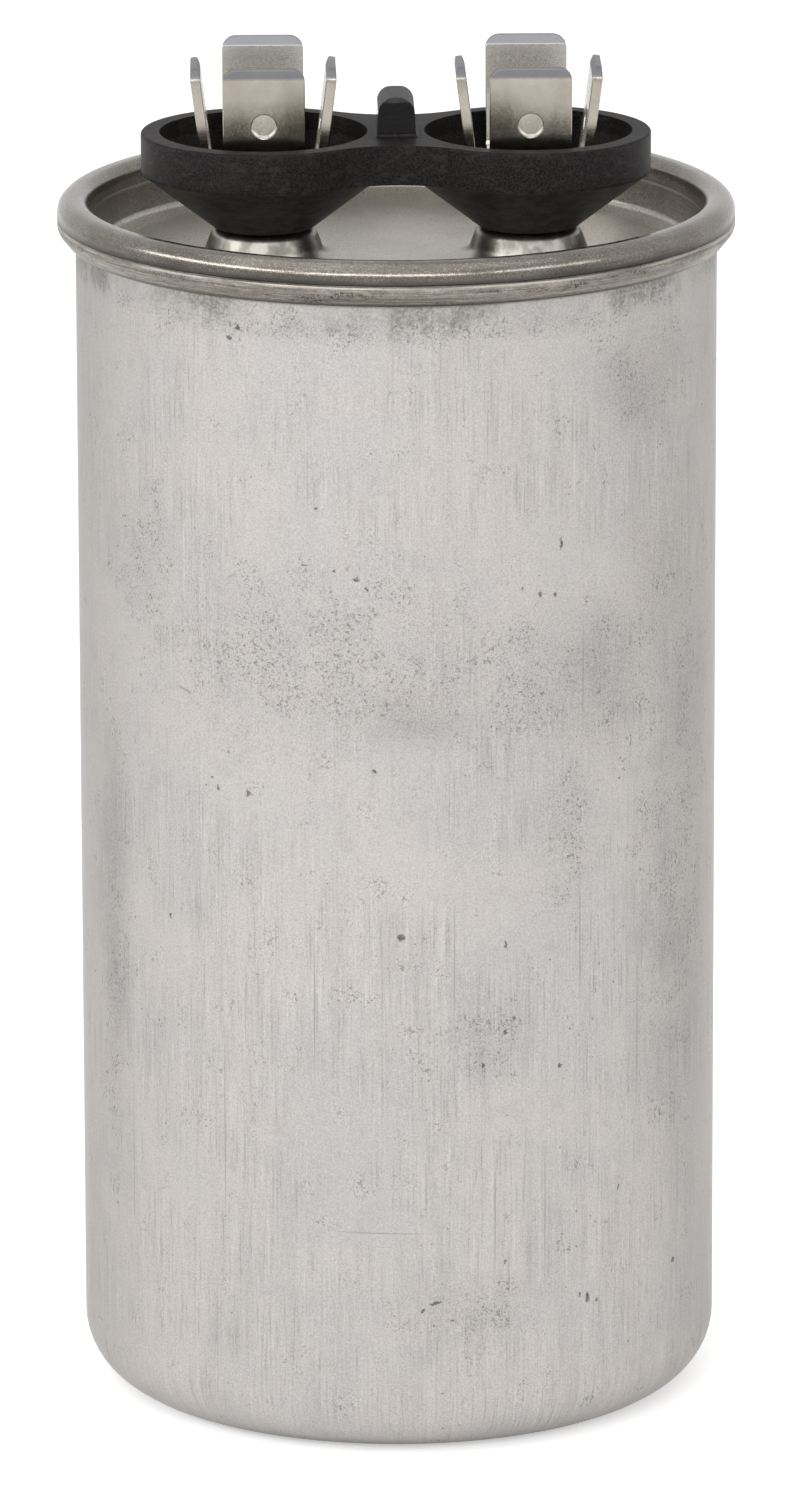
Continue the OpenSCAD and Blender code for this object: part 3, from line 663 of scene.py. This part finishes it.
def lid_material():
    """Tinplate: specked panel, satin bosses, and a rolled seam with worn rings and dirt, with
    painted shade and highlights.
    """
    s = Shade("tinplate")
    x, y, z = s.split()
    around = s.around(x, y)
    radius = s.reach(x, y)
    ringed = s.add("CombineXYZ", {0: s.times(around, 0.012), 1: radius, 2: z})
    short = s.add("CombineXYZ", {0: s.times(around, 0.13), 1: radius, 2: z})
    grain = s.noise(0.16, 3, 0.75)
    cloud = s.noise(6, 3, 0.6)
    rings = s.noise(0.2, 3, 0.7, ringed)
    fine_rings = s.noise(0.07, 2, 0.6, ringed)
    dashes = s.noise(0.2, 3, 0.75, short)
    rim = s.ramp(radius, CHUCK_R - 0.95, CHUCK_R - 0.35)
    band = s.times(s.ramp(radius, SEAM_R - 0.81, SEAM_R - 0.61),
                   s.ramp(z, SEAM_TOP - 1.4, SEAM_TOP - 1.7))

    # The panel, the rim and the band that the roller pressed; the rim is painted darker as painted
    # shade
    s.color = s.mix(s.ramp(cloud, 0.35, 0.65), (0.45, 0.432, 0.39), (0.52, 0.5, 0.457))
    # Painted shade: the chuck wall and crown, the same tinplate as the panel, in a darker tone
    s.paint(rim, s.mix(s.ramp(cloud, 0.35, 0.65), (0.17, 0.152, 0.132), (0.225, 0.207, 0.184)))
    s.paint(band, s.mix(s.ramp(rings, 0.35, 0.6), (0.155, 0.14, 0.12), (0.32, 0.29, 0.258)))

    # Worn rings and dashes round the rim, then grit and specks all over
    worn = s.times(rim, s.ramp(fine_rings, 0.54, 0.7, 0, 0.6))
    s.paint(worn, (0.085, 0.077, 0.067))
    streak = s.times(rim, s.ramp(dashes, 0.5, 0.72, 0, s.mix_value(band, 0.3, 0.65)))
    s.paint(streak, (0.07, 0.063, 0.053))
    s.paint(s.times(rim, s.ramp(dashes, 0.42, 0.25, 0, 0.3)), (0.5, 0.47, 0.42))
    s.paint(s.ramp(grain, 0.36, 0.6, 0.45, 0), (0.13, 0.12, 0.108))
    s.paint(s.ramp(grain, 0.5, 0.68, 0, 0.14), (0.75, 0.72, 0.67))
    specked = s.specks(0.45, s.ramp(cloud, 0.35, 0.65, 0.1, 0.5), 0.11)
    s.paint(s.times(specked, 0.75), (0.08, 0.07, 0.06))
    dirty = s.times(band, s.ramp(s.noise(1.2, 3, 0.7, short), 0.47, 0.62))
    s.paint(s.times(dirty, s.ramp(grain, 0.45, 0.6)), (0.05, 0.045, 0.04))

    # Painted shade above the roller's groove, a painted highlight on the lip below it, and a darker
    # tone at the seam's foot
    height = s.plus(z, s.ramp(s.noise(7, 2, 0.5), 0.3, 0.7, -0.12, 0.12))
    # Painted shade, darkest just above the groove
    above = s.times(s.ramp(radius, SEAM_R - 0.71, SEAM_R - 0.31),
                    s.ramp(height, SEAM_TOP - 0.75, ROLL_Z + 0.1, 0, 0.85))
    above = s.times(above, s.ramp(z, ROLL_Z - 0.06, ROLL_Z + 0.02))
    s.paint(above, (0.03, 0.027, 0.024))
    # Painted highlight on the groove's lower lip
    painted_lip_highlight = s.times(s.ramp(z, ROLL_Z - 0.02, ROLL_Z - 0.1), s.ramp(z, ROLL_Z - 0.34, ROLL_Z - 0.2))
    s.paint(s.times(painted_lip_highlight, s.ramp(rings, 0.4, 0.6, 0.15, 0.6)), (0.5, 0.47, 0.43))
    # Darker towards the seam's foot
    foot = s.times(s.ramp(radius, SEAM_R - 1.21, SEAM_R - 0.91),
                   s.ramp(z, SEAM_LOW + 0.4, SEAM_LOW, 0, 0.75))
    s.paint(foot, (0.07, 0.063, 0.052))

    # The bosses, painted darker as painted shade, with a painted highlight at their foot
    left = s.reach(s.plus(x, TERM_X), y)
    right = s.reach(s.minus(x, TERM_X), y)
    boss = s.ramp(s.math("MINIMUM", left, right), BOSS_END_R + 0.1, BOSS_END_R - 0.7)
    patchy_painted_shade = s.mix(s.ramp(s.noise(1.2, 2, 0.5), 0.4, 0.6), (0.12, 0.114, 0.1), (0.26, 0.25, 0.226))
    s.paint(s.times(boss, 0.85), patchy_painted_shade)
    # Painted highlight along the bosses' foot
    s.paint(s.times(boss, s.ramp(z, PANEL_Z + 0.9, PANEL_Z + 0.35, 0, 0.6)), (0.55, 0.53, 0.49))

    crown = s.times(s.ramp(z, SEAM_TOP - 1.4, SEAM_TOP - 1), rim)
    rough = s.mix_value(boss, s.ramp(grain, 0.3, 0.7, 0.27, 0.36),
                        s.ramp(grain, 0.3, 0.7, 0.33, 0.4))
    rough = s.minus(rough, s.times(crown, 0.11))
    rough = s.plus(rough, s.times(band, 0.08))
    normal = s.bump(s.times(fine_rings, rim), 0.005)
    normal = s.bump(s.times(rings, band), 0.03, normal)
    normal = s.bump(grain, 0.003, normal)
    return s.finish(rough, normal, Metallic=1.0)


def block_material():
    """Moulded phenolic: near black, finely mottled, paler underneath, with a glossy post."""
    s = Shade("phenolic")
    x, y, z = s.split()
    grain = s.noise(0.15, 3, 0.75)
    mould = s.noise(1.1, 3, 0.65, s.stretched(1, 1, 2.2))
    cloud = s.noise(5, 2, 0.5)
    upward = s.split(s.add("NewGeometry", output="True Normal"))[2]
    post = s.times(s.ramp(s.math("ABSOLUTE", x), POST_W / 2 + 0.25, POST_W / 2 + 0.1),
                   s.ramp(z, MOUTH_Z + 0.05, MOUTH_Z + 0.2))
    post = s.times(post, s.ramp(upward, 0.3, 0.1))

    s.color = s.mix(s.ramp(grain, 0.35, 0.65), (0.006, 0.005, 0.005), (0.016, 0.014, 0.0138))
    s.paint(s.ramp(mould, 0.5, 0.72, 0, 0.6), (0.034, 0.03, 0.029))
    s.paint(s.ramp(cloud, 0.45, 0.7, 0, 0.3), (0.022, 0.019, 0.017))
    s.paint(s.times(s.specks(0.7, 0.06, 0.05), 0.7), (0.4, 0.39, 0.36))
    # A paler, mottled tone on the faces that look down
    paler_underneath = s.times(s.ramp(upward, -0.2, -0.5), s.ramp(mould, 0.35, 0.65, 0.3, 1))
    s.paint(s.times(paler_underneath, s.ramp(grain, 0.35, 0.65, 0.5, 1)), (0.042, 0.036, 0.032))
    s.paint(post, (0.001, 0.0008, 0.001))

    rough = s.mix_value(post, s.ramp(grain, 0.3, 0.7, 0.4, 0.62),
                        s.ramp(grain, 0.3, 0.7, 0.1, 0.16))
    shine = s.ramp(grain, 0.35, 0.65, 0.06, 0.2)
    shine = s.mix_value(s.ramp(upward, 0.25, 0.6, 0, 0.6), shine,
                        s.ramp(z, MOUTH_Z + 0.1, MOUTH_Z + 0.3, 0.06, 0.4))
    shine = s.mix_value(post, shine, 0.2)
    depth = s.mix_value(post, grain, 0.5)
    return s.finish(rough, s.bump(depth, 0.012, s.bump(mould, 0.02)), shine)


def tab_material(name, tip, side):
    """Matt tin plating with a fine grain; dulled outside, painted light low on the inner faces, and
    painted shade where it is coined.
    """
    s = Shade(name)
    x, y, z = s.split()
    grain = s.noise(0.12, 2, 0.7)
    cloud = s.noise(3, 3, 0.6)
    away = s.add("VectorMath", {0: s.add("CombineXYZ", {0: s.minus(x, side * TERM_X), 1: y})},
                 operation="NORMALIZE")
    facing = s.add("VectorMath", {0: away, 1: s.add("NewGeometry", output="True Normal")},
                   output="Value", operation="DOT_PRODUCT")
    outside = s.ramp(facing, 0.1, 0.5)

    dull = s.mix(s.ramp(cloud, 0.35, 0.65), (0.35, 0.316, 0.266), (0.43, 0.395, 0.345))
    # Painted light: the inner faces lighter towards their foot
    clean_and_painted_light = s.mix(s.ramp(z, MOUTH_Z + 2.9, MOUTH_Z + 0.9), (0.48, 0.465, 0.43), (0.66, 0.645, 0.6))
    s.color = s.mix(outside, clean_and_painted_light, dull)
    s.paint(s.ramp(grain, 0.32, 0.7, s.ramp(facing, 0.1, 0.5, 0.14, 0.32), 0), (0.17, 0.155, 0.135))
    coined = s.ramp(z, tip - COIN_L - 0.1, tip - COIN_L + 0.15)
    # Painted shade and reflection: the coined tips darker and bluer
    s.paint(s.times(coined, 0.8), (0.118, 0.126, 0.146))
    s.paint(s.times(s.specks(0.45, 0.06, 0.05), 0.7), (0.07, 0.06, 0.05))

    normal = s.bump(grain, 0.0015)
    rough = s.plus(s.ramp(grain, 0.3, 0.7, 0.17, 0.25), s.times(coined, 0.28))
    return s.finish(rough, normal, Metallic=1.0)


def plain_material(name, dark, light, size, rough, depth, metal=0.0, across=(1, 1, 1)):
    """An inner piece's finish: two tones in a grain, with darker clouds and a matching bump."""
    s = Shade(name)
    grain = s.noise(size, 3, 0.65, s.stretched(*across))
    cloud = s.noise(size * 12, 3, 0.55)
    s.color = s.mix(s.ramp(grain, 0.35, 0.65), dark, light)
    s.paint(s.ramp(cloud, 0.45, 0.7, 0, 0.3), dark)
    return s.finish(s.ramp(grain, 0.3, 0.7, rough - 0.05, rough + 0.06), s.bump(grain, depth),
                    Metallic=metal)


# The finishes of the pieces that only show when the part is opened, or deep in the cups
TIN = dict(dark=(0.34, 0.32, 0.29), light=(0.5, 0.48, 0.45), metal=1.0)
INNER = {
    "rubber": dict(nodes=("gasket_left", "gasket_right"), dark=(0.01, 0.01, 0.01),
                   light=(0.03, 0.03, 0.03), size=0.2, rough=0.7, depth=0.02),
    "seam_rubber": dict(nodes=("seam_compound",), dark=(0.03, 0.03, 0.028),
                        light=(0.06, 0.06, 0.055), size=0.2, rough=0.75, depth=0.02),
    "rivet_tin": dict(nodes=("rivet_left", "rivet_right"), size=0.25, rough=0.28, depth=0.008,
                      **TIN),
    "lead_tin": dict(nodes=("lead_left", "lead_right"), size=0.2, rough=0.3, depth=0.005,
                     across=(1, 1, 0.1), **TIN),
    "zinc_steel": dict(nodes=("washer_left", "washer_right"), dark=(0.4, 0.4, 0.4),
                       light=(0.55, 0.55, 0.54), size=0.15, rough=0.35, depth=0.004, metal=1.0),
    "bushing_nylon": dict(nodes=("inner_bushing_left", "inner_bushing_right"),
                          dark=(0.62, 0.58, 0.48), light=(0.72, 0.68, 0.58), size=0.3, rough=0.5,
                          depth=0.01),
    "sleeve_paper": dict(nodes=("lead_sleeve",), dark=(0.62, 0.58, 0.48), light=(0.74, 0.7, 0.62),
                         size=0.25, rough=0.7, depth=0.01, across=(1, 1, 4)),
    "plate_plastic": dict(nodes=("interrupter_plate", "bottom_spacer"), dark=(0.66, 0.66, 0.63),
                          light=(0.76, 0.76, 0.74), size=0.35, rough=0.45, depth=0.01),
    "film": dict(nodes=("winding",), dark=(0.5, 0.51, 0.53), light=(0.66, 0.67, 0.69), size=0.3,
                 rough=0.25, depth=0.006, metal=1.0, across=(0.1, 0.1, 1)),
    "core_plastic": dict(nodes=("winding_core",), dark=(0.58, 0.5, 0.38), light=(0.7, 0.62, 0.48),
                         size=0.3, rough=0.5, depth=0.01),
    "zinc_spray": dict(nodes=("end_spray_top", "end_spray_bottom"), dark=(0.25, 0.26, 0.28),
                       light=(0.42, 0.43, 0.45), size=0.35, rough=0.6, depth=0.05, metal=1.0),
    "wrap_film": dict(nodes=("outer_wrap",), dark=(0.6, 0.55, 0.38), light=(0.7, 0.65, 0.48),
                      size=0.4, rough=0.3, depth=0.005, across=(1, 1, 0.2)),
}

dress(can, can_material())
dress(lid, lid_material())
dress(NODES["terminal_block"], block_material())
for piece in tabs:
    top = max(p[2] for p in piece.bound_box) / MM
    side = math.copysign(1, piece.bound_box[0][0])
    dress(piece, tab_material("tin_plating_" + piece.name, top, side))
for name, look in INNER.items():
    nodes = look.pop("nodes")
    skin = plain_material(name, **look)
    for node in nodes:
        dress(NODES[node], skin)


# ---------------------------------------------------------------- camera, floor and light
# Metres
FLOOR_HALF = 4
LAMP_REACH = 0.9
# Millimetres below the base, so that the floor and the base don't share one plane
FLOOR_DROP = 0.02
# How brightly the floor glows for the eye, and how strongly the world lights
FLOOR_LIFT = 0.45
WORLD_LIGHT = 0.6


def aim(thing, at):
    """Turns a lamp or camera to look at a point."""
    thing.rotation_euler = (at - thing.location).to_track_quat("-Z", "Y").to_euler()


def build_camera():
    """The camera, where the part is seen a little from above and from far off."""
    distance, pitch, yaw, roll = 872.6, math.radians(14.79), math.radians(-1), math.radians(-0.154)
    target = Vector((0, 0, 49.21)) * MM
    data = bpy.data.cameras.new("camera")
    data.sensor_fit = "VERTICAL"
    data.sensor_height = 36
    data.lens = 265.3
    data.shift_x, data.shift_y = -0.00142, 0.01268
    data.clip_start, data.clip_end = 0.05, 20
    camera = bpy.data.objects.new("camera", data)
    bpy.context.scene.collection.objects.link(camera)
    away = Vector((math.sin(yaw) * math.cos(pitch), -math.cos(yaw) * math.cos(pitch),
                   math.sin(pitch)))
    camera.location = target + away * distance * MM
    aim(camera, target)
    camera.rotation_euler.rotate_axis("Z", roll)
    bpy.context.scene.camera = camera


def lamp(name, azimuth, elevation, size, watts):
    """A softbox that looks at the middle of the object. Azimuth 0 is the front, 90 the right."""
    data = bpy.data.lights.new(name, "AREA")
    data.shape = "RECTANGLE"
    data.size, data.size_y = size
    data.energy = watts
    thing = bpy.data.objects.new(name, data)
    bpy.context.scene.collection.objects.link(thing)
    a, e = math.radians(azimuth), math.radians(elevation)
    middle = Vector((0, 0, (cad_low.z + cad_high.z) / 2))
    thing.location = middle + Vector((math.sin(a) * math.cos(e), -math.cos(a) * math.cos(e),
                                      math.sin(e))) * LAMP_REACH
    aim(thing, middle)


def seen_by(tree, *rays):
    """1 for these kinds of ray, 0 for all others."""
    path = tree.nodes.new("ShaderNodeLightPath")
    total = path.outputs[rays[0]]
    for ray in rays[1:]:
        either = tree.nodes.new("ShaderNodeMath")
        either.operation = "ADD"
        either.use_clamp = True
        tree.links.new(total, either.inputs[0])
        tree.links.new(path.outputs[ray], either.inputs[1])
        total = either.outputs[0]
    return total


def build_floor():
    """A pale floor that keeps the object's shadow; eye and metal see it lifted towards white."""
    bm = bmesh.new()
    bmesh.ops.create_grid(bm, x_segments=2, y_segments=2, size=FLOOR_HALF)
    mesh = bpy.data.meshes.new("floor")
    bm.to_mesh(mesh)
    bm.free()
    floor = bpy.data.objects.new("floor", mesh)
    floor.location.z = -FLOOR_DROP * MM
    bpy.context.scene.collection.objects.link(floor)
    material = bpy.data.materials.new("floor")
    material.use_nodes = True
    tree = material.node_tree
    surface = tree.nodes["Principled BSDF"]
    surface.inputs["Base Color"].default_value = (0.8, 0.8, 0.8, 1)
    surface.inputs["Roughness"].default_value = 0.9
    surface.inputs["Specular IOR Level"].default_value = 0.1
    surface.inputs["Emission Color"].default_value = (1, 1, 1, 1)
    lift = tree.nodes.new("ShaderNodeMath")
    lift.operation = "MULTIPLY"
    lift.inputs[1].default_value = FLOOR_LIFT
    tree.links.new(seen_by(tree, "Is Camera Ray", "Is Glossy Ray"), lift.inputs[0])
    tree.links.new(lift.outputs[0], surface.inputs["Emission Strength"])
    mesh.materials.append(material)


def build_world():
    """An even white surround, dimmer as a light than it looks in the metal."""
    world = bpy.data.worlds.new("studio")
    bpy.context.scene.world = world
    world.use_nodes = True
    tree = world.node_tree
    background = tree.nodes["Background"]
    background.inputs["Color"].default_value = (1, 1, 1, 1)
    strength = tree.nodes.new("ShaderNodeMapRange")
    strength.inputs[3].default_value = WORLD_LIGHT
    strength.inputs[4].default_value = 1
    tree.links.new(seen_by(tree, "Is Camera Ray", "Is Glossy Ray", "Is Transmission Ray"),
                   strength.inputs[0])
    tree.links.new(strength.outputs[0], background.inputs["Strength"])


bpy.context.scene.view_settings.view_transform = "Standard"
build_camera()
build_floor()
build_world()
lamp("strip_left", -68, 27, (0.9, 0.12), 2.9)
lamp("strip_front", -8, 27, (0.9, 0.12), 2.9)
lamp("strip_right", 52, 27, (0.6, 0.12), 1.0)
lamp("top", -30, 75, (1.2, 1.2), 3.0)
